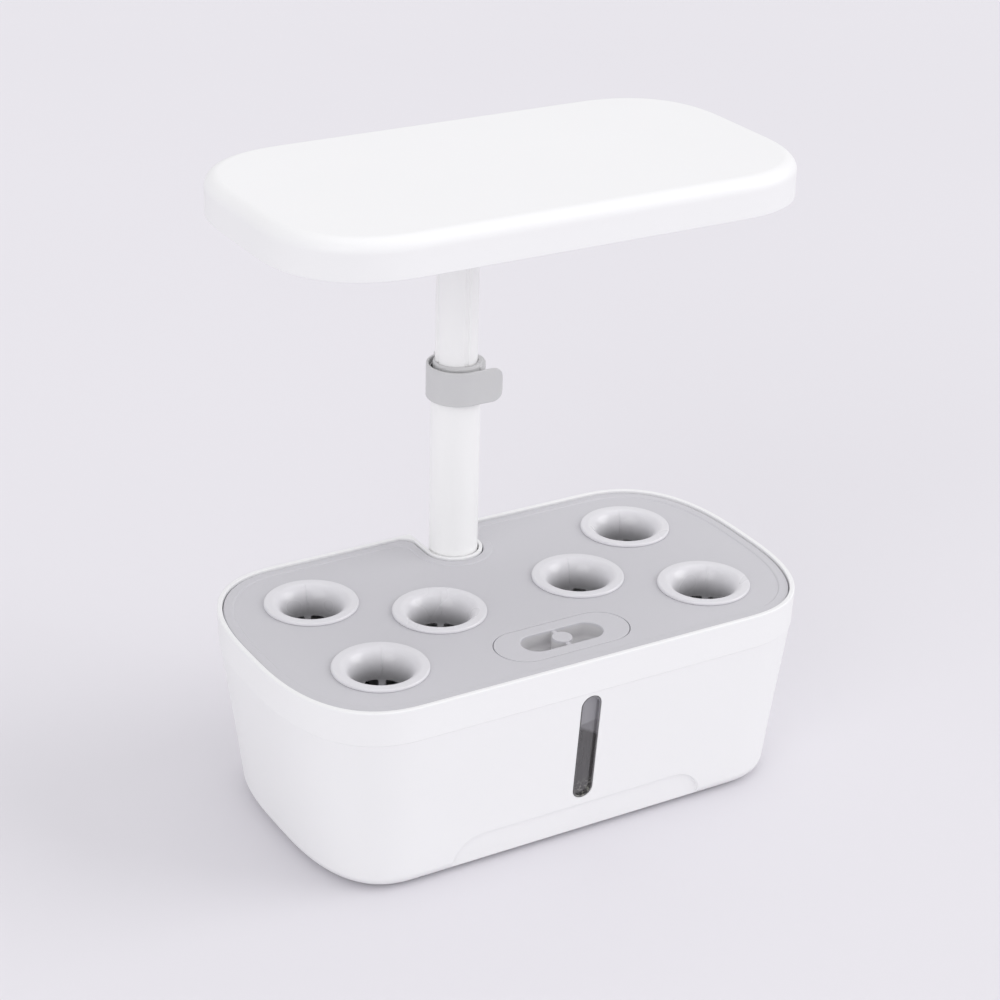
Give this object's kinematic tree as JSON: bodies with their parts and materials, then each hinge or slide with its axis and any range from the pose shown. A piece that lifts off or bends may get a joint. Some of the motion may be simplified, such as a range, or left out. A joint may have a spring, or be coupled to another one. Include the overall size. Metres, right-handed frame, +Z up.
{
  "type": "countertop hydroponic garden",
  "caption": "Water tub with a lift-off grow deck, net baskets and fill cap, and a grow lamp on a telescopic mast with a flip-lock clamp.",
  "frame": {"origin": "on the surface it stands on, under the middle of the overall box of tub and lamp head", "axes": "+X to the right as seen from the front, where the level window is; +Y to the rear, where the mast stands; +Z up"},
  "size_m": [0.2854, 0.1676, 0.3212],
  "materials": {
    "white_shell": "satin, moulded",
    "rubber_black": "matte",
    "smoky_lens": "polished, smoky",
    "steel": "zinc plated",
    "black_plastic": "matte",
    "board": "solder mask",
    "grey_plastic": "matte",
    "white_tube": "satin paint",
    "clamp_grey": "fine matte",
    "deck_grey": "fine matte",
    "pale_grey": "satin",
    "diffuser": "opal",
    "board_white": "solder mask",
    "led_white": "clear lens over phosphor",
    "led_red": "clear lens"
  },
  "bodies": {
    "base": {"tank": "white_shell", "feet": "rubber_black", "level_window": "smoky_lens", "window_gasket": "rubber_black", "rear_cover": "white_shell", "cover_screws": "steel", "power_inlet": "black_plastic", "power_board": "board", "board_screws": "steel", "mast_socket": "grey_plastic", "socket_screws": "steel", "lower_tube": "white_tube", "tube_screw": "steel", "clamp_collar": "clamp_grey", "clamp_liner": "black_plastic", "clamp_pin": "steel", "pump_housing": "black_plastic", "pump_intake": "black_plastic", "pump_shaft": "steel", "suction_cups": "rubber_black", "pump_lead": "rubber_black", "lead_grommet": "rubber_black"},
    "impeller": {"pump_impeller": "black_plastic"},
    "lever": {"clamp_lever": "clamp_grey"},
    "deck": {"grow_deck": "deck_grey"},
    "cap": {"fill_cap": "pale_grey"},
    "mast": {"upper_tube": "white_tube", "tube_glide": "grey_plastic", "mast_lead": "rubber_black", "lamp_cover": "white_shell", "lamp_base": "white_shell", "diffuser": "diffuser", "led_board": "board_white", "led_white": "led_white", "led_red": "led_red", "lamp_board_screws": "steel", "lamp_screws": "steel", "mast_bracket": "grey_plastic", "bracket_screws": "steel", "mast_screw": "steel", "control_board": "board", "push_switches": "black_plastic"},
    "light_button": {"light_button": "clamp_grey"},
    "pump_button": {"pump_button": "clamp_grey"},
    "basket_1": {"basket_1": "pale_grey"},
    "basket_2": {"basket_2": "pale_grey"},
    "basket_3": {"basket_3": "pale_grey"},
    "basket_4": {"basket_4": "pale_grey"},
    "basket_5": {"basket_5": "pale_grey"},
    "basket_6": {"basket_6": "pale_grey"}
  },
  "joints": [
    {"name": "deck_lift", "type": "slide", "parent": "base", "child": "deck", "axis": [0, 0, 1], "range_m": [0, 0.062]},
    {"name": "cap_lift", "type": "slide", "parent": "deck", "child": "cap", "axis": [0, 0, 1], "range_m": [0, 0.03]},
    {"name": "basket_1_lift", "type": "slide", "parent": "deck", "child": "basket_1", "axis": [0, 0, 1], "range_m": [0, 0.05]},
    {"name": "basket_2_lift", "type": "slide", "parent": "deck", "child": "basket_2", "axis": [0, 0, 1], "range_m": [0, 0.05]},
    {"name": "basket_3_lift", "type": "slide", "parent": "deck", "child": "basket_3", "axis": [0, 0, 1], "range_m": [0, 0.05]},
    {"name": "basket_4_lift", "type": "slide", "parent": "deck", "child": "basket_4", "axis": [0, 0, 1], "range_m": [0, 0.05]},
    {"name": "basket_5_lift", "type": "slide", "parent": "deck", "child": "basket_5", "axis": [0, 0, 1], "range_m": [0, 0.05]},
    {"name": "basket_6_lift", "type": "slide", "parent": "deck", "child": "basket_6", "axis": [0, 0, 1], "range_m": [0, 0.05]},
    {"name": "mast_slide", "type": "slide", "parent": "base", "child": "mast", "axis": [0, 0, 1], "range_m": [-0.07, 0.06], "deforming": ["mast_lead"]},
    {"name": "lever_hinge", "type": "hinge", "parent": "base", "child": "lever", "pos_m": [-0.00258, 0.06807, 0.1968], "axis": [0, 0, -1], "range_deg": [0, 100]},
    {"name": "impeller_spin", "type": "hinge", "parent": "base", "child": "impeller", "pos_m": [-0.066, 0.04595, 0.021], "axis": [0, 1, 0], "continuous": true},
    {"name": "light_press", "type": "slide", "parent": "mast", "child": "light_button", "axis": [0, 0, 1], "range_m": [0, 0.001], "stiffness_N_per_m": 400, "springref_m": -0.001},
    {"name": "pump_press", "type": "slide", "parent": "mast", "child": "pump_button", "axis": [0, 0, 1], "range_m": [0, 0.001], "stiffness_N_per_m": 400, "springref_m": -0.001}
  ]
}
